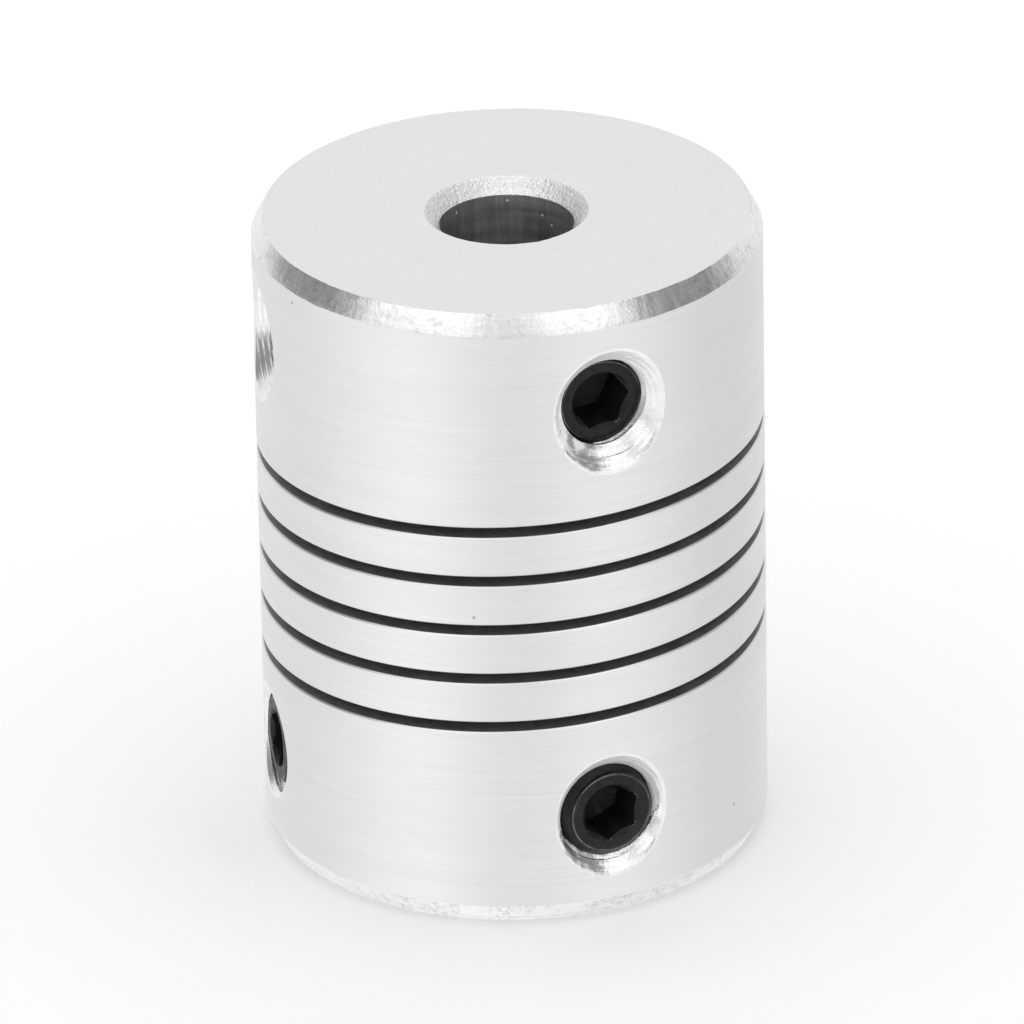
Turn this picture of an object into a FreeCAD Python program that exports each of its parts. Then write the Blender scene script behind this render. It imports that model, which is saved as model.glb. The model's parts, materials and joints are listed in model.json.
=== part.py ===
import FreeCAD, Part
import math
import os

# Beam coupling for a 5 mm and an 8 mm shaft, in millimetres and degrees.
# Origin: centre of the lower end face. +Z runs along the bore, towards the 5 mm end. Angles are
# measured about +Z from +X, and -Y is the front.
# The real coupling is one machined aluminium body and four set screws. Its body is one helical spring
# between two hubs, and is parted here where the spring flexes, so that each stretch can move.

# Body
OUTER_R = 9.5
LENGTH = 25.0
RIM_CHAMFER_RADIAL = 0.42
RIM_CHAMFER_AXIAL = 0.78
BORE_CHAMFER = 0.55
UPPER_BORE_R = 2.5
LOWER_BORE_R = 4.0
LOWER_BORE_DEPTH = 17.6     # it runs up through the beam, so the 5 mm shaft stays clear of the turns
DRILL_POINT_ANGLE = 118.0   # of the 8 mm drill, which leaves a cone at the bottom of its bore
SEAM_ANGLE = 100.0          # where the turned faces start: at the back, clear of the slit's ends and the screws

# Helical slit: single start, right-handed, through the whole wall
PITCH = 2.0
SLIT_WIDTH = 0.4
SLIT_TURNS = 5
SLIT_START_Z = 7.3
SLIT_START_ANGLE = 90.0
CUTTER_MARGIN = 1.0         # how far a cutting tool stands out of the wall that it cuts

# Flexures, as (turns along the beam from its lower root, width of the parting gap). The beam's turn 0 is
# where the slit starts. A bend parts the beam on its own axis, so it only needs room to tilt; a twist
# closes the gap by the outer radius times its angle.
BEND_GAP = 0.05
TWIST_GAP = 0.2
FLEXURES = [
    (0.25, BEND_GAP),
    (0.5, BEND_GAP),
    (1.5, BEND_GAP),
    (2.5, TWIST_GAP),
    (3.5, BEND_GAP),
    (3.75, BEND_GAP),
]
BODY_PIECES = ["lower_hub"] + ["beam_segment_%d" % n for n in range(1, len(FLEXURES))] + ["upper_hub"]

# M4 set screws with a 2 mm hex socket and a cup point. The screw and its hole are plain at the thread.
SCREW_R = 1.95
SCREW_LENGTH = 3.8
SCREW_HEAD_CHAMFER = 0.35
SCREW_TIP_CHAMFER = 0.6
CUP_R = 1.0
CUP_DEPTH = 0.45
HEX_ACROSS_FLATS = 2.0
HEX_DEPTH = 1.8
HEX_DRILL_R = 0.98
HEX_DRILL_POINT = 0.45
HOLE_R = 2.0
HOLE_TO_END = 4.2           # from each end face to the hole's axis

# Name, height and angle of the axis, radius of the 90 degree countersink at the outer cylinder, depth of the
# screw's face below that cylinder, turn of the screw. The holes were drilled and countersunk by hand, so
# their angles and countersinks differ a little.
SCREWS = [
    ("upper_front_set_screw", LENGTH - HOLE_TO_END, -66.7, 2.45, 1.1, 6.0),
    ("upper_left_set_screw", LENGTH - HOLE_TO_END, -169.9, 2.45, 2.5, 20.0),
    ("lower_front_set_screw", HOLE_TO_END, -67.7, 2.45, 0.3, 24.0),
    ("lower_left_set_screw", HOLE_TO_END, -167.0, 2.2, 0.3, 35.0),
]

AXIS = FreeCAD.Vector(0, 0, 1)
ORIGIN = FreeCAD.Vector(0, 0, 0)


def turned(points):
    """A solid of revolution about Z from its (radius, height) outline."""
    corners = [FreeCAD.Vector(r, 0, z) for r, z in points]
    face = Part.Face(Part.makePolygon(corners + corners[:1]))
    return face.revolve(ORIGIN, AXIS, 360)


def blank():
    """The body as it leaves the lathe, before the slit and the screw holes."""
    drill_cone = (LOWER_BORE_R - UPPER_BORE_R) / math.tan(math.radians(DRILL_POINT_ANGLE / 2))
    rim_r = OUTER_R - RIM_CHAMFER_RADIAL
    body = turned([
        (LOWER_BORE_R + BORE_CHAMFER, 0),
        (rim_r, 0),
        (OUTER_R, RIM_CHAMFER_AXIAL),
        (OUTER_R, LENGTH - RIM_CHAMFER_AXIAL),
        (rim_r, LENGTH),
        (UPPER_BORE_R + BORE_CHAMFER, LENGTH),
        (UPPER_BORE_R, LENGTH - BORE_CHAMFER),
        (UPPER_BORE_R, LOWER_BORE_DEPTH + drill_cone),
        (LOWER_BORE_R, LOWER_BORE_DEPTH),
        (LOWER_BORE_R, BORE_CHAMFER),
    ])
    body.rotate(ORIGIN, AXIS, SEAM_ANGLE)
    return body


def slit():
    """The space that the slitting saw clears: a radial rectangle carried along a helix."""
    inner = LOWER_BORE_R - CUTTER_MARGIN
    outer = OUTER_R + CUTTER_MARGIN
    half = SLIT_WIDTH / 2
    corners = [(inner, -half), (outer, -half), (outer, half), (inner, half)]
    points = [FreeCAD.Vector(r, 0, z) for r, z in corners]
    section = Part.makePolygon(points + points[:1])
    path = Part.Wire(Part.makeHelix(PITCH, PITCH * SLIT_TURNS, OUTER_R).Edges)
    solid = path.makePipeShell([section], True, True)
    solid.rotate(ORIGIN, AXIS, SLIT_START_ANGLE)
    solid.translate(AXIS * SLIT_START_Z)
    return solid


def parting(turns, gap):
    """A thin radial box across one turn of the beam, from the slit below it to the slit above it."""
    inner = LOWER_BORE_R - CUTTER_MARGIN
    length = OUTER_R + CUTTER_MARGIN - inner
    box = Part.makeBox(length, gap, PITCH, FreeCAD.Vector(inner, -gap / 2, SLIT_START_Z + PITCH * turns))
    box.rotate(ORIGIN, AXIS, SLIT_START_ANGLE + 360 * turns)
    return box


def set_radially(shape, height, angle, distance):
    """Place a shape made along +Z so that its own +Z points out of the coupling at an angle."""
    shape.rotate(ORIGIN, FreeCAD.Vector(0, 1, 0), 90)
    shape.translate(FreeCAD.Vector(distance, 0, height))
    shape.rotate(ORIGIN, AXIS, angle)
    return shape


def screw_hole(height, angle, countersink_r):
    """A radial hole from the bore outwards, countersunk at the outer cylinder."""
    hole = Part.makeCylinder(HOLE_R, OUTER_R + CUTTER_MARGIN)
    sink_depth = countersink_r - HOLE_R
    sink_height = sink_depth + CUTTER_MARGIN
    sink_start = FreeCAD.Vector(0, 0, OUTER_R - sink_depth)
    sink = Part.makeCone(HOLE_R, HOLE_R + sink_height, sink_height, sink_start)
    return set_radially(hole.fuse(sink), height, angle, 0)


def hex_prism(across_flats, height):
    """A hexagonal prism about Z that rises from the origin, with a corner on +X."""
    corner_r = across_flats / math.sqrt(3)
    corners = [
        FreeCAD.Vector(corner_r * math.cos(math.radians(60 * n)), corner_r * math.sin(math.radians(60 * n)), 0)
        for n in range(6)
    ]
    return Part.Face(Part.makePolygon(corners + corners[:1])).extrude(AXIS * height)


def set_screw(height, angle, depth, turn):
    """A set screw whose socket faces outwards, with its face a given depth below the outer cylinder."""
    shank = turned([
        (0, CUP_DEPTH - SCREW_LENGTH),
        (CUP_R, -SCREW_LENGTH),
        (SCREW_R - SCREW_TIP_CHAMFER, -SCREW_LENGTH),
        (SCREW_R, SCREW_TIP_CHAMFER - SCREW_LENGTH),
        (SCREW_R, -SCREW_HEAD_CHAMFER),
        (SCREW_R - SCREW_HEAD_CHAMFER, 0),
        (0, 0),
    ])
    socket = hex_prism(HEX_ACROSS_FLATS, HEX_DEPTH + CUTTER_MARGIN)
    socket.translate(AXIS * -HEX_DEPTH)
    drilled = Part.makeCone(0, HEX_DRILL_R, HEX_DRILL_POINT, AXIS * (-HEX_DEPTH - HEX_DRILL_POINT))
    screw = shank.cut([socket, drilled])
    screw.rotate(ORIGIN, AXIS, turn)
    return set_radially(screw, height, angle, OUTER_R - depth)


def body_pieces():
    """The body's pieces from the bottom up: lower hub, beam segments, upper hub."""
    partings = [parting(turns, gap) for turns, gap in FLEXURES]
    holes = [screw_hole(height, angle, countersink_r) for _, height, angle, countersink_r, _, _ in SCREWS]
    body = blank()
    for tool in [slit()] + partings + holes:
        body = body.cut(tool)
    pieces = sorted(body.Solids, key=lambda piece: piece.CenterOfMass.z)
    if len(pieces) != len(BODY_PIECES):
        raise ValueError("the body parts into %d pieces, not %d" % (len(pieces), len(BODY_PIECES)))
    return dict(zip(BODY_PIECES, pieces))


def main():
    os.makedirs("parts", exist_ok=True)
    nodes = body_pieces()
    for name, height, angle, _, depth, turn in SCREWS:
        nodes[name] = set_screw(height, angle, depth, turn)
    for name, shape in nodes.items():
        shape.exportStep("parts/%s.step" % name)


main()
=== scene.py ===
import json
import math

import bmesh
import bpy
import numpy as np
from mathutils import Matrix, Vector, noise

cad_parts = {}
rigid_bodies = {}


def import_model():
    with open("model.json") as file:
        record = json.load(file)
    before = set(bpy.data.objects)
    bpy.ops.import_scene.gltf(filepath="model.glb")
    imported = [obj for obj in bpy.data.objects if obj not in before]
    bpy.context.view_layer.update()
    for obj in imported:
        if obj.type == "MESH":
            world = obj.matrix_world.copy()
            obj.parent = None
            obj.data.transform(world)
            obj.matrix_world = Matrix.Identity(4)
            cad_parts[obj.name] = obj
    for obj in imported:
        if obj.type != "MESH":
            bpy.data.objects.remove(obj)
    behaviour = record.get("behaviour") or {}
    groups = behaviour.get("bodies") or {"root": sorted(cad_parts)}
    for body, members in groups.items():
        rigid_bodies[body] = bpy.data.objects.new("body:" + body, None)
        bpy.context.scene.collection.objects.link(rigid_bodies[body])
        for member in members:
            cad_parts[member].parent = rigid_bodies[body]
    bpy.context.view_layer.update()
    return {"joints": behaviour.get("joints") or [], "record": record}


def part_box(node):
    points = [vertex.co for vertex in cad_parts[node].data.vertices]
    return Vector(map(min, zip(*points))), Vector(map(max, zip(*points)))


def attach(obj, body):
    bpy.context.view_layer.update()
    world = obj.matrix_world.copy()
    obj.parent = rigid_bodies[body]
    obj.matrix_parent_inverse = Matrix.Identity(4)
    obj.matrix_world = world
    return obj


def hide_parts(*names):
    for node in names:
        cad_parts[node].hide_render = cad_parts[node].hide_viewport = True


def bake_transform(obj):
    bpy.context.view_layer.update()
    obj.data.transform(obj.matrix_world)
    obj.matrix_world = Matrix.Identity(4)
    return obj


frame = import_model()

# Beam coupling: one machined aluminium body with a helical slit, and four black set screws.
# Sizes are millimetres and degrees, and become metres when a mesh is made. Angles are about +Z from +X,
# and -Y is the front.
MM = 0.001

# ---- sizes from the frame ------------------------------------------------------------------------------
joints = {joint["name"]: joint for joint in frame["joints"]}
mounts = {mount["name"]: mount for mount in frame["record"]["mounts"]}
OUTER_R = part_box("upper_hub")[1].x / MM
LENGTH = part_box("upper_hub")[1].z / MM
UPPER_BORE_R = mounts["upper_bore"]["dims"]["r_mm"]
LOWER_BORE_R = mounts["lower_bore"]["dims"]["r_mm"]

# Joint at each flexure, and its place in turns along the beam from the lower root
FLEXURES = [
    ("lower_bend_x", 0.25),
    ("lower_bend_y", 0.5),
    ("stretch", 1.5),
    ("wind_up", 2.5),
    ("upper_bend_y", 3.5),
    ("upper_bend_x", 3.75),
]
FIRST_BEND_Z = joints["lower_bend_x"]["pos_m"][2] / MM
LAST_BEND_Z = joints["upper_bend_x"]["pos_m"][2] / MM
PITCH = (LAST_BEND_Z - FIRST_BEND_Z) / (FLEXURES[-1][1] - FLEXURES[0][1])
SLIT_START_Z = FIRST_BEND_Z - PITCH * (FLEXURES[0][1] + 0.5)

# ---- sizes that only the visual model has --------------------------------------------------------------
SLIT_START_ANGLE = 90.0
SLIT_TURNS = 5
SLIT_WIDTH = 0.4
BEAM_HEIGHT = PITCH - SLIT_WIDTH
FLEX_HALF = 0.125               # turns either side of a flexure that bend
RIM_CHAMFER = (0.42, 0.78)      # radial, axial
BORE_CHAMFER = 0.55
LOWER_BORE_DEPTH = 17.6
DRILL_POINT_ANGLE = 118.0
EDGE_BREAK = 0.05               # of the sharp edges that the slit and the chamfers leave
EDGE_WEAR = 0.035               # furthest that a knock moves the edges of the rim and bore chamfers
KNOCKS_PER_MM = (2.6, 0.9)      # fine, broad
FINE_KNOCKS_SHARE = 0.6
FEED = 0.115                    # of the lathe tool, per turn
LATHE_STEPS = 720
HELIX_STEPS = 240               # per turn
SEAM_STEP = 0.0002              # turns; a last thin ring keeps the shading level across a seam
OVERCUT = 1.0                   # how far a cutter stands out of what it cuts
BREAKTHROUGH = 0.4              # how far a screw hole's cutter reaches into the bore

THREAD_PITCH = 0.7
THREAD_CREST = THREAD_PITCH / 16
THREAD_STEPS = 108              # round a thread
THREAD_ROW = 0.03               # along a thread
HOLE_MINOR_R = 1.65
HOLE_MAJOR_R = 2.03
SINK_DEPTH = 0.9                # stretch of a hole whose rows follow the outer cylinder
SINK_ROWS = 60
RIM_ROUNDS = 8                  # of the search for a hole's rim
RING_PITCH = 0.18               # of the rings that the countersink's cutter left
LIP = 0.08                      # of the broken edge round a countersink

SCREW_MINOR_R = 1.57
SCREW_MAJOR_R = 1.95
SCREW_LENGTH = 3.8
SCREW_HEAD_CHAMFER = 0.4
SCREW_TIP_CHAMFER = 0.6
SCREW_EDGE = 0.03               # of the small bevel round a screw's face
HEX_ACROSS_FLATS = 2.0
HEX_DEPTH = 1.8
HEX_MOUTH_R = 1.16
HEX_DRILL_R = 0.98
HEX_DRILL_POINT = 0.45
CUP_R = 1.0
CUP_DEPTH = 0.45
TIP_R = 0.01                    # of a cutter's point, which can't be sharp

# Name, hub, radius of the countersink at the outer cylinder, height of its rings, start of the thread in
# turns, turn of the socket
SCREWS = [
    ("upper_front_set_screw", "upper_hub", 2.45, 0.006, 0.17, 6.0),
    ("upper_left_set_screw", "upper_hub", 2.45, 0.022, 0.6, 20.0),
    ("lower_front_set_screw", "lower_hub", 2.45, 0.006, 0.24, 24.0),
    ("lower_left_set_screw", "lower_hub", 2.2, 0.01, 0.4, 35.0),
]


# ---- mesh tools ----------------------------------------------------------------------------------------
def new_object(name, points, faces):
    """An object from points in millimetres, with its normals outwards."""
    mesh = bpy.data.meshes.new(name)
    mesh.from_pydata((np.asarray(points, float) * MM).tolist(), [], faces)
    obj = bpy.data.objects.new(name, mesh)
    bpy.context.scene.collection.objects.link(obj)
    bm = bmesh.new()
    bm.from_mesh(mesh)
    bmesh.ops.recalc_face_normals(bm, faces=bm.faces)
    bm.to_mesh(mesh)
    bm.free()
    return obj


def grid_faces(rows, columns, closed_rows=False):
    """Quads between rows of points. The columns always close; the rows close only if asked."""
    faces = []
    for i in range(rows if closed_rows else rows - 1):
        here, ahead = i * columns, (i + 1) % rows * columns
        for j in range(columns):
            k = (j + 1) % columns
            faces.append((here + j, here + k, ahead + k, ahead + j))
    return faces


def capped_grid(rows, columns):
    ends = [tuple(range(columns)), tuple(range((rows - 1) * columns, rows * columns))]
    return grid_faces(rows, columns) + ends


def rounded(outline, radius, steps=3):
    """A closed outline with each corner replaced by an arc."""
    corners = [np.array(point, float) for point in outline]
    result = []
    for i, corner in enumerate(corners):
        back = corners[i - 1] - corner
        ahead = corners[(i + 1) % len(corners)] - corner
        back /= np.linalg.norm(back)
        ahead /= np.linalg.norm(ahead)
        half = math.acos(np.clip(back @ ahead, -1, 1)) / 2
        centre = corner + (back + ahead) / np.linalg.norm(back + ahead) * radius / math.sin(half)
        first = corner + back * radius / math.tan(half) - centre
        last = corner + ahead * radius / math.tan(half) - centre
        for step in range(steps + 1):
            arm = first * (1 - step / steps) + last * step / steps
            result.append(centre + arm / np.linalg.norm(arm) * radius)
    return result


def lathe(name, outline):
    """A ring of revolution from a closed (radius, height) outline that stays off the axis."""
    angles = np.arange(LATHE_STEPS) * 2 * math.pi / LATHE_STEPS
    points = [(r * math.cos(a), r * math.sin(a), z) for a in angles for r, z in outline]
    return new_object(name, points, grid_faces(LATHE_STEPS, len(outline), closed_rows=True))


def knock_edges(obj, edges):
    """Wear the chamfers' edges unevenly, inwards, near the given (radius, height) corners."""
    for vertex in obj.data.vertices:
        place = vertex.co / MM
        r = math.hypot(place.x, place.y)
        for edge_r, edge_z in edges:
            if math.hypot(r - edge_r, place.z - edge_z) < 2 * EDGE_BREAK:
                fine, broad = (noise.noise(place * scale) for scale in KNOCKS_PER_MM)
                depth = EDGE_WEAR * max(0, FINE_KNOCKS_SHARE * fine + broad)
                vertex.co.z -= math.copysign(depth, place.z - LENGTH / 2) * MM


def helical(name, outline, first_turn, last_turn):
    """A closed (radius, height) outline carried along the slit's helix."""
    count = max(2, round((last_turn - first_turn) * HELIX_STEPS) + 1)
    turns = list(np.linspace(first_turn, last_turn, count))
    turns[1:1] = [turns[0] + SEAM_STEP]
    turns[-1:-1] = [turns[-1] - SEAM_STEP]
    points = []
    for turn in turns:
        angle = math.radians(SLIT_START_ANGLE) + 2 * math.pi * turn
        rise = SLIT_START_Z + PITCH * turn
        points += [(r * math.cos(angle), r * math.sin(angle), z + rise) for r, z in outline]
    return new_object(name, points, capped_grid(len(turns), len(outline)))


def radial_bar(name, along, radius, height, angle):
    """A closed bar along a radial axis, from its points' distances out (rows x columns) and radii."""
    steps = along.shape[1]
    a = 2 * math.pi * np.arange(steps) / steps
    points = np.stack([along, radius * np.cos(a), radius * np.sin(a)], axis=-1).reshape(-1, 3)
    turn = np.array(Matrix.Rotation(angle, 3, "Z"))
    return new_object(name, points @ turn.T + (0, 0, height), capped_grid(len(along), steps))


def plain_bar(name, outline, height, angle, steps=THREAD_STEPS, turn=0.0):
    """A bar along a radial axis from its (distance out, radius) outline, turned about that axis."""
    along, radius = (np.repeat([[value] for value in column], steps, axis=1) for column in zip(*outline))
    bar = radial_bar(name, along.astype(float), radius.astype(float), 0, 0)
    bar.data.transform(Matrix.Rotation(math.radians(turn), 4, "X"))
    bar.data.transform(Matrix.Translation((0, 0, height * MM)) @ Matrix.Rotation(angle, 4, "Z"))
    return bar


def cut(obj, cutters):
    """Subtract closed meshes from a closed mesh, and delete them."""
    for cutter in cutters:
        modifier = obj.modifiers.new("cut", "BOOLEAN")
        modifier.operation = "DIFFERENCE"
        modifier.solver = "MANIFOLD"
        modifier.object = cutter
    evaluated = obj.evaluated_get(bpy.context.evaluated_depsgraph_get())
    mesh = bpy.data.meshes.new_from_object(evaluated)
    obj.modifiers.clear()
    obj.data = mesh
    for cutter in cutters:
        bpy.data.objects.remove(cutter)
    return obj


def loose_parts(obj):
    """Split an object into one object per separate part, from the bottom up."""
    bpy.ops.object.select_all(action="DESELECT")
    obj.select_set(True)
    bpy.context.view_layer.objects.active = obj
    bpy.ops.mesh.separate(type="LOOSE")
    return sorted(bpy.context.selected_objects, key=lambda part: part.bound_box[0][2])


# ---- machined body -------------------------------------------------------------------------------------
def blank():
    """The body as it leaves the lathe."""
    drill_cone = (LOWER_BORE_R - UPPER_BORE_R) / math.tan(math.radians(DRILL_POINT_ANGLE / 2))
    rim_r = OUTER_R - RIM_CHAMFER[0]
    body = lathe("blank", rounded([
        (LOWER_BORE_R + BORE_CHAMFER, 0),
        (rim_r, 0),
        (OUTER_R, RIM_CHAMFER[1]),
        (OUTER_R, LENGTH - RIM_CHAMFER[1]),
        (rim_r, LENGTH),
        (UPPER_BORE_R + BORE_CHAMFER, LENGTH),
        (UPPER_BORE_R, LENGTH - BORE_CHAMFER),
        (UPPER_BORE_R, LOWER_BORE_DEPTH + drill_cone),
        (LOWER_BORE_R, LOWER_BORE_DEPTH),
        (LOWER_BORE_R, BORE_CHAMFER),
    ], EDGE_BREAK))
    knock_edges(body, [
        (rim_r, LENGTH),
        (OUTER_R, LENGTH - RIM_CHAMFER[1]),
        (UPPER_BORE_R + BORE_CHAMFER, LENGTH),
        (UPPER_BORE_R, LENGTH - BORE_CHAMFER),
        (OUTER_R, RIM_CHAMFER[1]),
    ])
    return body


def slit():
    """The space that the slitting saw clears, flared to break the edges at the outer cylinder."""
    half = SLIT_WIDTH / 2
    mouth_r = OUTER_R - EDGE_BREAK
    flare = OVERCUT / 4
    return helical("slit", [
        (LOWER_BORE_R - OVERCUT, -half),
        (mouth_r, -half),
        (mouth_r + flare, -half - flare),
        (mouth_r + flare, half + flare),
        (mouth_r, half),
        (LOWER_BORE_R - OVERCUT, half),
    ], 0, SLIT_TURNS)


def beam_outline(inner, outer, height):
    """The beam's section, half a pitch above the slit below it, with its outer edges broken."""
    half, e = height / 2, EDGE_BREAK
    corners = [
        (inner, -half),
        (outer - e, -half),
        (outer, e - half),
        (outer, half - e),
        (outer - e, half),
        (inner, half),
    ]
    return [(r, z + PITCH / 2) for r, z in corners]


def hubs():
    """Both hubs, each with its root of the beam, and with threaded and countersunk screw holes."""
    cleared = beam_outline(LOWER_BORE_R - OVERCUT, OUTER_R + OVERCUT, BEAM_HEIGHT + SLIT_WIDTH / 2)
    beam = helical("beam", cleared, FLEXURES[0][1] - FLEX_HALF, FLEXURES[-1][1] + FLEX_HALF)
    body = cut(cut(blank(), [slit()]), [beam])
    made = dict(zip(["lower_hub", "upper_hub"], loose_parts(body)))
    for hub, part in made.items():
        part.name = hub + "_metal"
        cut(part, [screw_hole(name, *sizes) for name, owner, *sizes, _ in SCREWS if owner == hub])
    return made


def beam_pieces():
    """The beam between the hubs: a stretch round each flexure, left unattached, and stiff stretches between
    them, each attached to the parent body of the flexure after it.
    """
    outline = beam_outline(LOWER_BORE_R, OUTER_R, BEAM_HEIGHT)
    made = []
    reached = FLEXURES[0][1] - FLEX_HALF
    for name, turn in FLEXURES:
        joint = joints[name]
        if turn - FLEX_HALF > reached:
            stiff = helical("beam_on_" + joint["parent"], outline, reached, turn - FLEX_HALF)
            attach(stiff, joint["parent"])
            made.append(stiff)
        flex = helical("beam_at_" + name, outline, turn - FLEX_HALF, turn + FLEX_HALF)
        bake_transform(flex)
        if joint["child"].startswith("beam"):
            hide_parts(joint["child"])
        made.append(flex)
        reached = turn + FLEX_HALF
    return made


# ---- screws and their holes ----------------------------------------------------------------------------
def seat(screw):
    """(height, angle in radians, distance of the outer face from the coupling's axis) of a screw."""
    axis = joints[screw.replace("set_screw", "screw_travel")]["axis"]
    low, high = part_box(screw)
    centre = (low + high) / 2 / MM
    face = centre.x * axis[0] + centre.y * axis[1] + SCREW_LENGTH / 2
    return centre.z, math.atan2(axis[1], axis[0]), face


def thread_radius(along, start, minor, major):
    """The radii of a 60 degree thread at distances along it (rows x steps round it)."""
    turned = np.arange(along.shape[1]) / along.shape[1]
    phase = along / THREAD_PITCH - turned - start
    from_crest = np.abs(phase - np.round(phase)) * THREAD_PITCH
    radius = major - np.maximum(0, from_crest - THREAD_CREST) * math.sqrt(3)
    return np.clip(radius, minor, major)


def rows_of(distances):
    return np.repeat(np.asarray(distances, float)[:, None], THREAD_STEPS, axis=1)


def countersink_rim(sink_r, around):
    """(radius, distance out) of the rim, where the cone leaves the outer cylinder.

    The cylinder falls away at both sides, so the rim isn't round. Each round of the search comes nearer.
    """
    radius = np.full(THREAD_STEPS, sink_r)
    for _ in range(RIM_ROUNDS):
        radius = sink_r - OUTER_R + np.sqrt(OUTER_R ** 2 - (radius * np.cos(around)) ** 2)
    return radius, OUTER_R - sink_r + radius


def cutter_rings(along, around, height):
    """How far a countersink's uneven rings depart from its cone, along the hole and around it."""
    swelling = 0.7 + 0.4 * np.sin(3 * around)
    wander = np.sin(2 * around)
    return height * swelling * np.cos(2 * math.pi * along / RING_PITCH + wander)


def screw_hole(screw, sink_r, ring_height, start):
    """The shape of a threaded hole, its countersink with the cutter's rings, and its broken edge."""
    height, angle, _ = seat(screw)
    bore_r = UPPER_BORE_R if height > LENGTH / 2 else LOWER_BORE_R
    deepest = math.sqrt(bore_r ** 2 - HOLE_MAJOR_R ** 2) - BREAKTHROUGH

    around = 2 * math.pi * np.arange(THREAD_STEPS) / THREAD_STEPS
    rim_r, rim = countersink_rim(sink_r, around)
    sink_start = OUTER_R - SINK_DEPTH
    shares = np.linspace(0, 1, SINK_ROWS)[:, None]
    along = np.concatenate([
        rows_of(np.arange(deepest, sink_start, THREAD_ROW)),
        sink_start + shares * (rim - LIP - sink_start),
    ])
    cone = sink_r + along - OUTER_R
    threads = thread_radius(along, start, HOLE_MINOR_R, HOLE_MAJOR_R)
    radius = np.maximum(cone + cutter_rings(along, around, ring_height), threads)

    # the broken edge turns out from the cone to the cylinder, then leaves the metal
    lip_along = np.array([rim - LIP / 2, rim, rim + OVERCUT])
    lip_radius = np.array([rim_r - LIP * 0.3, rim_r + LIP, rim_r + LIP + 3 * OVERCUT])
    along = np.concatenate([along, lip_along])
    radius = np.concatenate([radius, lip_radius])
    return radial_bar("hole", along, radius, height, angle)


def set_screw(name, start, turn):
    """A threaded set screw with chamfered ends, a hexagonal socket and a cup point."""
    height, angle, face = seat(name)
    tip = face - SCREW_LENGTH
    along = rows_of(list(np.arange(tip, face - SCREW_EDGE, THREAD_ROW)) + [face - SCREW_EDGE, face])
    head = SCREW_MAJOR_R - SCREW_HEAD_CHAMFER + face - along
    head[-1] -= SCREW_EDGE
    point = SCREW_MAJOR_R - SCREW_TIP_CHAMFER + along - tip
    threads = thread_radius(along, start, SCREW_MINOR_R, SCREW_MAJOR_R)
    screw = radial_bar(name + "_steel", along, np.minimum(np.minimum(head, point), threads), height, angle)

    corner_r = HEX_ACROSS_FLATS / math.sqrt(3)
    floor_at = face - HEX_DEPTH
    mouth = HEX_MOUTH_R - HEX_ACROSS_FLATS / 2
    socket = plain_bar("socket", [(floor_at, corner_r), (face + OVERCUT, corner_r)], height, angle, 6, turn)
    flare = plain_bar("flare", [(face - mouth, HEX_MOUTH_R - mouth), (face + mouth, HEX_MOUTH_R + mouth)],
                      height, angle)
    drilled = plain_bar("drilled", [
        (floor_at - HEX_DRILL_POINT, TIP_R),
        (floor_at, HEX_DRILL_R),
        (floor_at + mouth, HEX_DRILL_R),
    ], height, angle)
    cup = plain_bar("cup", [(tip - CUP_DEPTH, 2 * CUP_R), (tip + CUP_DEPTH, TIP_R)], height, angle)
    return cut(screw, [socket, flare, drilled, cup])


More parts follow.
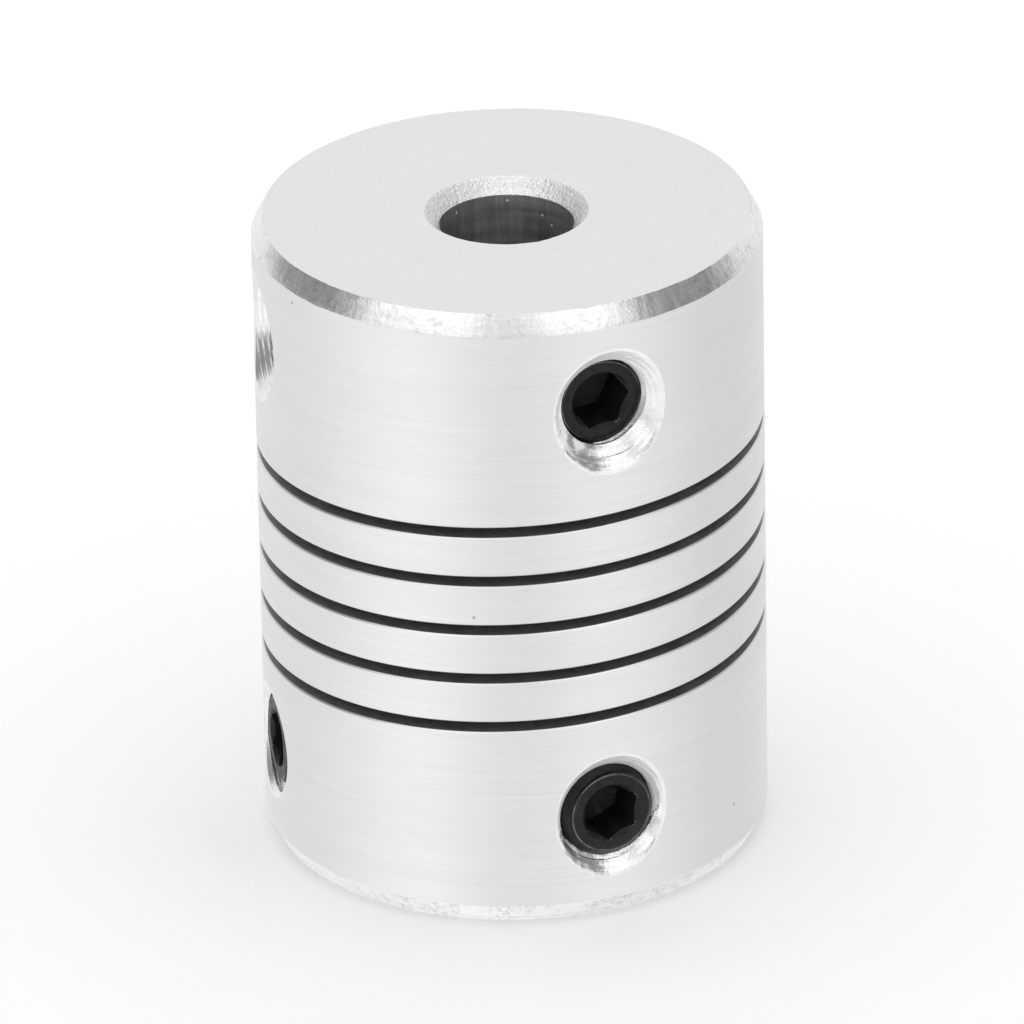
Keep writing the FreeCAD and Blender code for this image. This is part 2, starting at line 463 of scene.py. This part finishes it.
# ---- shader tools --------------------------------------------------------------------------------------
class Graph:
    """Short calls for building a node tree. A value is a number, a vector or another node's output."""

    def __init__(self, tree):
        self.tree = tree

    def node(self, kind, inputs=(), **settings):
        made = self.tree.nodes.new("ShaderNode" + kind)
        for name, value in settings.items():
            setattr(made, name, value)
        for name, value in dict(inputs).items():
            if isinstance(value, bpy.types.NodeSocket):
                self.tree.links.new(value, made.inputs[name])
            else:
                made.inputs[name].default_value = value
        return made

    def math(self, operation, *values):
        return self.node("Math", enumerate(values), operation=operation).outputs[0]

    def smooth(self, value, low, high, at_low=0.0, at_high=1.0):
        """An S-curve from at_low to at_high as the value goes from low to high."""
        inputs = {"Value": value, "From Min": low, "From Max": high, "To Min": at_low, "To Max": at_high}
        return self.node("MapRange", inputs, interpolation_type="SMOOTHSTEP").outputs["Result"]

    def noise(self, vector, scale, detail=2.0, roughness=0.5):
        inputs = {"Vector": vector, "Scale": scale, "Detail": detail, "Roughness": roughness}
        return self.node("TexNoise", inputs).outputs[0]

    def total(self, *terms):
        """The sum of values times their weights, from (value, weight) pairs."""
        products = [self.math("MULTIPLY", value, weight) for value, weight in terms]
        result = products[0]
        for product in products[1:]:
            result = self.math("ADD", result, product)
        return result

    def vector(self, x, y, z):
        return self.node("CombineXYZ", {"X": x, "Y": y, "Z": z}).outputs[0]

    def stretched(self, vector, *factors):
        """A vector with its x, y and z each times a factor. A small factor draws noise out that way."""
        return self.node("VectorMath", {0: vector, 1: factors}, operation="MULTIPLY").outputs["Vector"]

    def round_axis(self, x, y, radius, third):
        """A point's direction from the axis and a third value, for noise that only varies with those."""
        return self.vector(self.math("DIVIDE", x, radius), self.math("DIVIDE", y, radius), third)

    def grey(self, value):
        return self.node("CombineColor", {"Red": value, "Green": value, "Blue": value}).outputs[0]

    def place(self):
        """The point and its x, y and z in millimetres, and its distance from the coupling's axis."""
        coords = self.node("TexCoord").outputs["Object"]
        scaled = self.node("VectorMath", {0: coords, "Scale": 1 / MM}, operation="SCALE").outputs["Vector"]
        x, y, z = self.node("SeparateXYZ", {0: scaled}).outputs
        square = self.math("ADD", self.math("MULTIPLY", x, x), self.math("MULTIPLY", y, y))
        return scaled, x, y, z, self.math("SQRT", square)

    def specks(self, vector, spacing, size, share):
        """1 inside small scattered round marks and 0 elsewhere. share is how many cells have one."""
        cells = self.node("TexVoronoi", {"Vector": vector, "Scale": 1 / spacing})
        inside = self.smooth(cells.outputs["Distance"], 0.6 * size / spacing, size / spacing, 1.0, 0.0)
        picked = self.node("SeparateColor", {0: cells.outputs["Color"]}).outputs["Red"]
        return self.math("MULTIPLY", inside, self.math("LESS_THAN", picked, share))

    def surface(self, colour, roughness, height, depth, metallic=1.0, ior=1.5):
        """Colour as a grey, roughness, and a bump from a height of 0 to 1 that stands for a depth in mm."""
        bump = self.node("Bump", {"Height": height, "Strength": 1.0, "Distance": depth * MM})
        inputs = {"Base Color": self.grey(colour), "Roughness": roughness, "Normal": bump.outputs[0],
                  "Metallic": metallic, "IOR": ior}
        self.tree.nodes.remove(self.tree.nodes["Principled BSDF"])
        shader = self.node("BsdfPrincipled", inputs)
        self.tree.links.new(shader.outputs[0], self.tree.nodes["Material Output"].inputs["Surface"])


def new_material(name):
    material = bpy.data.materials.new(name)
    material.use_nodes = True
    return material, Graph(material.node_tree)


# ---- materials -----------------------------------------------------------------------------------------
# Tones are greys from 0 to 1, and depths are millimetres. A noise's scale is its features per millimetre,
# or per radian where it is taken round the axis.
BETWEEN_CHAMFERS = (3.5, 5.0)   # radii that part the bore's chamfer from the rim's


def turned_aluminium():
    """Satin metal with fine rings from the lathe tool, a few pits with painted shade in them, and cloudy
    handling marks.
    """
    material, g = new_material("turned_aluminium")
    place, _, _, z, _ = g.place()
    fine = g.noise(g.stretched(place, 0.12, 0.12, 7.0), 1.0, 3.0, 0.7)
    broad = g.noise(g.stretched(place, 0.05, 0.05, 1.0), 1.1, 2.0)
    grain = g.noise(place, 9.0, 3.0, 0.6)
    cloud = g.noise(place, 0.35, 3.0, 0.55)
    pits = g.specks(place, spacing=1.6, size=0.09, share=0.1)
    feed = g.math("SINE", g.math("MULTIPLY", z, 2 * math.pi / FEED))
    feed_strength = g.smooth(g.noise(place, 0.5, 1.0), 0.45, 0.65, 0.002, 0.02)

    tone = g.math("ADD", g.smooth(fine, 0.25, 0.75, 0.792, 0.838), g.smooth(cloud, 0.3, 0.7, -0.01, 0.01))
    tone = g.math("ADD", tone, g.math("MULTIPLY", feed, feed_strength))
    # painted shade: the colour is darker inside the pits
    tone = g.math("MULTIPLY", tone, g.smooth(pits, 0.0, 1.0, 1.0, 0.62))
    rough = g.math("ADD", g.smooth(broad, 0.3, 0.7, 0.27, 0.34), g.smooth(cloud, 0.35, 0.65, 0.0, 0.05))
    height = g.total((fine, 0.8), (grain, 0.2), (pits, -1.0))
    g.surface(tone, rough, height, depth=0.0035)
    return material


def faced_aluminium():
    """Satin metal with faint concentric tool marks and fine grain."""
    material, g = new_material("faced_aluminium")
    place, x, y, _, radius = g.place()
    rings = g.noise(g.round_axis(x, y, radius, g.math("MULTIPLY", radius, 6.0)), 1.0, 3.0, 0.55)
    grain = g.noise(place, 11.0, 3.0, 0.6)
    pits = g.specks(place, spacing=1.9, size=0.1, share=0.06)

    tone = g.math("ADD", g.smooth(rings, 0.3, 0.7, 0.89, 0.91), g.smooth(grain, 0.3, 0.7, -0.022, 0.022))
    # painted shade: the colour is darker inside the pits
    tone = g.math("MULTIPLY", tone, g.smooth(pits, 0.0, 1.0, 1.0, 0.7))
    rough = g.smooth(grain, 0.3, 0.7, 0.36, 0.42)
    height = g.total((rings, 0.35), (grain, 0.65), (pits, -1.0))
    g.surface(tone, rough, height, depth=0.002)
    return material


def chamfered_aluminium():
    """Bright metal from a form tool: lines round the chamfer, chatter across it, dents and dull patches.

    The chamfer at the bore is torn.
    """
    material, g = new_material("chamfered_aluminium")
    place, x, y, z, radius = g.place()
    chatter = g.noise(g.round_axis(x, y, radius, g.math("MULTIPLY", z, 0.02)), 26.0, 3.0, 0.65)
    lines = g.noise(g.stretched(place, 0.2, 0.2, 8.0), 1.0, 2.0, 0.6)
    dents = g.noise(place, 1.8, 2.0, 0.5)
    torn = g.math("MULTIPLY", g.noise(place, 7.0, 3.0, 0.7), g.smooth(radius, *BETWEEN_CHAMFERS, 2.2, 0.25))
    mottling = g.smooth(g.noise(place, 4.0, 3.0, 0.65), 0.42, 0.7, 0.0, 0.22)
    patches = g.smooth(g.noise(place, 0.7, 1.0), 0.4, 0.6, 0.25, 1.0)
    at_rim = g.smooth(radius, *BETWEEN_CHAMFERS, 0.3, 1.0)

    dulled = g.math("MULTIPLY", mottling, g.math("MULTIPLY", patches, at_rim))
    tone = g.math("SUBTRACT", g.smooth(lines, 0.35, 0.7, 0.97, 0.9), dulled)
    rough = g.smooth(chatter, 0.3, 0.7, 0.18, 0.3)
    height = g.total((chatter, 0.18), (dents, 0.3), (lines, 0.12), (torn, 1.0))
    g.surface(tone, rough, height, depth=0.035)
    return material


def cut_aluminium(name, least_painted_sheen, tear):
    """Slightly torn metal of threads and countersinks, with a painted sheen: faces that look up are more
    metallic, and faces that look down are less metallic, so they look dull, with random patches mixed in.
    """
    material, g = new_material(name)
    place, *_ = g.place()
    torn = g.noise(place, 2.6, 3.0, 0.55)
    fine = g.noise(place, 14.0, 2.0, 0.6)
    patches = g.smooth(g.noise(place, 1.6, 2.0), 0.35, 0.65, -0.3, 0.3)
    up = g.node("SeparateXYZ", {0: g.node("NewGeometry").outputs["Normal"]}).outputs["Z"]

    # painted sheen: a face is more metallic the more it looks up, with random patches mixed in, from the
    # given least value up to 0.97
    painted_sheen = g.smooth(g.math("ADD", up, patches), 0.05, 0.55, least_painted_sheen, 0.97)
    tone = g.smooth(torn, 0.3, 0.7, 0.86, 0.94)
    rough = g.smooth(fine, 0.3, 0.7, 0.14, 0.26)
    height = g.total((torn, 0.85), (fine, 0.15))
    g.surface(tone, rough, height, depth=tear, metallic=painted_sheen)
    return material


def bored_aluminium():
    """A drilled wall: scratches along the bore, smears and specks of swarf."""
    material, g = new_material("bored_aluminium")
    place, x, y, z, radius = g.place()
    scratches = g.noise(g.round_axis(x, y, radius, g.math("MULTIPLY", z, 0.03)), 12.0, 4.0, 0.65)
    rings = g.noise(g.stretched(place, 0.1, 0.1, 1.0), 3.0, 3.0, 0.6)
    swarf = g.specks(place, spacing=0.32, size=0.05, share=0.22)

    tone = g.math("ADD", g.smooth(scratches, 0.3, 0.7, 0.48, 0.66), g.math("MULTIPLY", swarf, 0.25))
    rough = g.smooth(rings, 0.3, 0.7, 0.36, 0.48)
    height = g.total((scratches, 0.95), (rings, 0.05))
    g.surface(tone, rough, height, depth=0.009, metallic=g.math("SUBTRACT", 1.0, swarf))
    return material


def sawn_aluminium():
    """The slit's dull faces, with arcs left by the slitting saw."""
    material, g = new_material("sawn_aluminium")
    place, x, y, _, radius = g.place()
    arcs = g.noise(g.vector(g.math("MULTIPLY", x, 0.3), g.math("MULTIPLY", y, 0.3), radius), 4.0, 3.0, 0.6)
    grain = g.noise(place, 10.0, 2.0, 0.6)

    tone = g.smooth(arcs, 0.3, 0.7, 0.54, 0.66)
    rough = g.smooth(grain, 0.3, 0.7, 0.42, 0.55)
    height = g.total((arcs, 0.7), (grain, 0.3))
    g.surface(tone, rough, height, depth=0.006)
    return material


def black_oxide():
    """Black oxide on steel: near black, slightly uneven, with rubbed spots."""
    material, g = new_material("black_oxide_steel")
    place, *_ = g.place()
    patches = g.noise(place, 2.4, 4.0, 0.6)
    grain = g.noise(place, 16.0, 3.0, 0.6)

    tone = g.math("ADD", g.smooth(patches, 0.35, 0.75, 0.008, 0.02), g.smooth(grain, 0.62, 0.8, 0.0, 0.04))
    rough = g.smooth(patches, 0.3, 0.7, 0.32, 0.45)
    height = g.total((patches, 0.4), (grain, 0.6))
    g.surface(tone, rough, height, depth=0.006, metallic=0.0, ior=1.3)
    return material


def rubbed_edge():
    """The edge round a screw's face, where the oxide is rubbed thin."""
    material, g = new_material("rubbed_edge")
    place, *_ = g.place()
    rubbed = g.noise(place, 2.0, 3.0, 0.6)

    tone = g.smooth(rubbed, 0.35, 0.65, 0.05, 0.16)
    rough = g.smooth(rubbed, 0.3, 0.7, 0.3, 0.4)
    g.surface(tone, rough, rubbed, depth=0.004, metallic=0.8)
    return material


def floor_paper():
    """Matt white paper."""
    material, g = new_material("floor_paper")
    place, *_ = g.place()
    fibre = g.noise(place, 3.0, 3.0)

    tone = g.smooth(fibre, 0.3, 0.7, 0.94, 0.95)
    rough = g.smooth(fibre, 0.3, 0.7, 0.85, 0.9)
    g.surface(tone, rough, fibre, depth=0.005, metallic=0.0)
    return material


ALUMINIUM = [
    turned_aluminium(),
    faced_aluminium(),
    chamfered_aluminium(),
    bored_aluminium(),
    sawn_aluminium(),
    # the torn finish has a painted sheen, metallic on faces that look up and dull on faces that look down;
    # the reamed one stays metallic all round
    cut_aluminium("torn_aluminium", least_painted_sheen=0.15, tear=0.03),
    cut_aluminium("reamed_aluminium", least_painted_sheen=0.95, tear=0.01),
]
TURNED, FACED, CHAMFERED, BORED, SAWN, TORN_PAINTED_SHEEN, REAMED = range(len(ALUMINIUM))
STEEL = [black_oxide(), rubbed_edge()]
OXIDE, RUBBED = range(len(STEEL))
SHARP = math.radians(30)
NEAR = 0.02                     # how near a face is to a surface that it belongs to
MOSTLY = 0.9                    # least part of a face's normal along a direction that it mostly faces
SQUARELY = 0.98                 # the same, for a direction that it squarely faces
BEVEL_FACING = (0.6, 0.97)      # least and most part along the screw, for the bevel round a screw's face


def aluminium_zones(centres, normals):
    """Which aluminium finish each face has, from its centre in millimetres and its normal."""
    x, y, z = centres.T
    r = np.hypot(x, y)
    outwards = (x * normals[:, 0] + y * normals[:, 1]) / r
    level = np.abs(normals[:, 2])
    from_end = np.minimum(z, LENGTH - z)
    zones = np.full(len(centres), CHAMFERED)
    zones[(from_end > BORE_CHAMFER) & (r < LOWER_BORE_R + NEAR)] = BORED
    zones[(level > MOSTLY) & (r > LOWER_BORE_R - NEAR) & (r < OUTER_R - EDGE_BREAK / 2)] = SAWN
    zones[(level < MOSTLY) & (r > OUTER_R - EDGE_BREAK) & (from_end > 2 * RIM_CHAMFER[1])] = TURNED
    for screw, _, sink_r, *_ in SCREWS:
        height, angle, _ = seat(screw)
        out = x * math.cos(angle) + y * math.sin(angle)
        aside = y * math.cos(angle) - x * math.sin(angle)
        inside = (out > 0) & (outwards > -SQUARELY) & (np.hypot(aside, z - height) < sink_r + 2 * LIP)
        # the front holes get the torn finish with its painted sheen
        zones[inside] = TORN_PAINTED_SHEEN if "front" in screw else REAMED
    zones[(outwards > SQUARELY) & (r > OUTER_R - NEAR)] = TURNED
    zones[(level > SQUARELY) & (from_end < NEAR)] = FACED
    return zones


def steel_zones(screw):
    """A function that finds a screw's rubbed edge."""
    _, angle, face = seat(screw)

    def zones(centres, normals):
        out = centres[:, 0] * math.cos(angle) + centres[:, 1] * math.sin(angle)
        facing = normals[:, 0] * math.cos(angle) + normals[:, 1] * math.sin(angle)
        bevelled = (facing > BEVEL_FACING[0]) & (facing < BEVEL_FACING[1])
        return np.where((out > face - SCREW_EDGE) & bevelled, RUBBED, OXIDE)

    return zones


def values_of(items, attribute, *width, kind=float):
    """An attribute of each item, as an array with a row for each. width is how many numbers a row has."""
    values = np.zeros(len(items) * math.prod(width), kind)
    items.foreach_get(attribute, values)
    return values.reshape(len(items), *width)


def true_normals(mesh, found):
    """Exact normals for the turned and faced surfaces, which the cut edges would otherwise tilt."""
    of_corner = values_of(mesh.loops, "vertex_index", kind=np.int32)
    points = values_of(mesh.vertices, "co", 3)[of_corner]
    normals = values_of(mesh.corner_normals, "vector", 3)
    zone = np.repeat(found, values_of(mesh.polygons, "loop_total", kind=np.int32))
    outwards = points * (1, 1, 0) / np.hypot(points[:, :1], points[:, 1:2])
    upwards = np.where(points[:, 2:] > LENGTH / 2 * MM, 1, -1) * (0, 0, 1)
    for finish, exact in ((TURNED, outwards), (FACED, upwards)):
        near = (zone == finish) & (np.einsum("ij,ij->i", exact, normals) > math.cos(SHARP))
        normals[near] = exact[near]
    mesh.normals_split_custom_set(normals.tolist())


def dress(obj, materials, zones):
    """Give a piece its finishes, and smooth shading that breaks at sharp edges."""
    mesh = obj.data
    mesh.materials.clear()
    for material in materials:
        mesh.materials.append(material)
    centres = values_of(mesh.polygons, "center", 3) / MM
    found = zones(centres, values_of(mesh.polygons, "normal", 3)).astype(np.int32)
    mesh.polygons.foreach_set("material_index", found)
    mesh.shade_smooth()
    mesh.set_sharp_from_angle(angle=SHARP)
    if materials is ALUMINIUM:
        true_normals(mesh, found)


# ---- assembly ------------------------------------------------------------------------------------------
for hub, part in hubs().items():
    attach(part, hub)
    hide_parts(hub)
    dress(part, ALUMINIUM, aluminium_zones)
for piece in beam_pieces():
    dress(piece, ALUMINIUM, aluminium_zones)
for name, *_, start, turn in SCREWS:
    screw = set_screw(name, start, turn)
    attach(screw, name)
    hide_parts(name)
    dress(screw, STEEL, steel_zones(name))


# ---- floor, light and camera ---------------------------------------------------------------------------
FLOOR_REACH = 2000.0
WHITE = 1.1                     # strength of the light that the camera and matt surfaces see
FRONT_BOX = (0.72, 1.2)         # strength straight ahead and to the sides
BACK_BOX = 0.864
GAP = 0.26                      # strength between the boxes
GAP_SHIFT = 7.0                 # how much nearer the right gap is to the camera, and the left one further
HORIZON = 3.0                   # room and table blend over this many degrees either side
CAMERA_PLACE = (1.04, -432.7, 225.0)
CAMERA_ROLL = -1.03
CAMERA_LENS = 452
CAMERA_SENSOR = 36
CAMERA_REACH = 10               # metres


def lay_floor():
    r = FLOOR_REACH
    floor = new_object("floor", [(-r, -r, 0), (r, -r, 0), (r, r, 0), (-r, r, 0)], [(0, 1, 2, 3)])
    floor.data.materials.append(floor_paper())
    floor.visible_glossy = False    # metal mirrors the world's lower half instead, which is lit evenly


def room_light(g, azimuth, elevation, to_right):
    """A bright box in front and a softer one behind, with the darker room between them.

    Azimuth is 0 on the camera's side and 180 behind. The gap on the right stands a little nearer to the
    camera, and the front box is dimmer low down.
    """
    turned = g.math("ADD", azimuth, g.math("MULTIPLY", to_right, GAP_SHIFT))
    gap = g.math("MULTIPLY", g.smooth(turned, 54.0, 76.0), g.smooth(turned, 104.0, 140.0, 1.0, 0.0))
    gap = g.math("MULTIPLY", gap, g.smooth(elevation, -4.0, 4.0))
    gap = g.math("MULTIPLY", gap, g.smooth(elevation, 40.0, 58.0, 1.0, 0.0))
    front = g.smooth(azimuth, 0.0, 26.0, *FRONT_BOX)
    front = g.math("MULTIPLY", front, g.smooth(elevation, 8.0, 30.0, 0.5, 1.0))
    boxes = g.smooth(azimuth, 85.0, 110.0, front, BACK_BOX)
    return g.smooth(gap, 0.0, 1.0, boxes, GAP)


def table_light(g, azimuth, to_right):
    """The table is lit evenly, but is a little brighter where the boxes stand and on the left."""
    light = g.smooth(azimuth, 0.0, 44.0, 0.88, 1.06)
    light = g.math("MULTIPLY", light, g.smooth(azimuth, 40.0, 108.0, 1.0, 0.79))
    light = g.math("MULTIPLY", light, g.smooth(azimuth, 120.0, 170.0, 1.0, 1.08))
    return g.math("MULTIPLY", light, g.math("SUBTRACT", 1.0, g.math("MULTIPLY", to_right, 0.055)))


def light_studio():
    """White all round for the camera and the floor. Metal mirrors a room with soft boxes."""
    world = bpy.data.worlds.new("studio")
    bpy.context.scene.world = world
    world.use_nodes = True
    world.cycles.sampling_method = "NONE"
    g = Graph(world.node_tree)
    direction = g.node("TexCoord").outputs["Generated"]
    x, y, z = g.node("SeparateXYZ", {0: direction}).outputs
    ahead = g.math("MULTIPLY", y, -1.0)
    azimuth = g.math("DEGREES", g.math("ARCTAN2", g.math("ABSOLUTE", x), ahead))
    elevation = g.math("DEGREES", g.math("ARCSINE", z))
    to_right = g.math("SINE", g.math("ARCTAN2", x, ahead))

    room = room_light(g, azimuth, elevation, to_right)
    table = table_light(g, azimuth, to_right)
    mirrored = g.math("ADD", g.math("MULTIPLY", room, g.smooth(elevation, -HORIZON, HORIZON)),
                      g.math("MULTIPLY", table, g.smooth(elevation, -HORIZON, HORIZON, 1.0, 0.0)))
    glossy = g.node("LightPath").outputs["Is Glossy Ray"]
    strength = g.math("ADD", g.math("MULTIPLY", mirrored, glossy),
                      g.math("MULTIPLY", WHITE, g.math("SUBTRACT", 1.0, glossy)))
    background = world.node_tree.nodes["Background"]
    background.inputs["Color"].default_value = (1, 1, 1, 1)
    g.tree.links.new(strength, background.inputs["Strength"])


def aim_camera():
    """A long lens from the front and above, with a slight roll, aimed at the middle of the coupling."""
    place = Vector(CAMERA_PLACE) * MM
    target = Vector((0, 0, LENGTH / 2)) * MM
    camera = bpy.data.objects.new("camera", bpy.data.cameras.new("camera"))
    camera.data.sensor_width = CAMERA_SENSOR
    camera.data.lens = CAMERA_LENS
    camera.data.clip_end = CAMERA_REACH
    roll = Matrix.Rotation(math.radians(CAMERA_ROLL), 4, "Z")
    look = (target - place).to_track_quat("-Z", "Y").to_matrix().to_4x4()
    camera.matrix_world = Matrix.Translation(place) @ look @ roll
    bpy.context.scene.collection.objects.link(camera)
    bpy.context.scene.camera = camera


lay_floor()
light_studio()
aim_camera()
bpy.context.scene.view_settings.view_transform = "Standard"
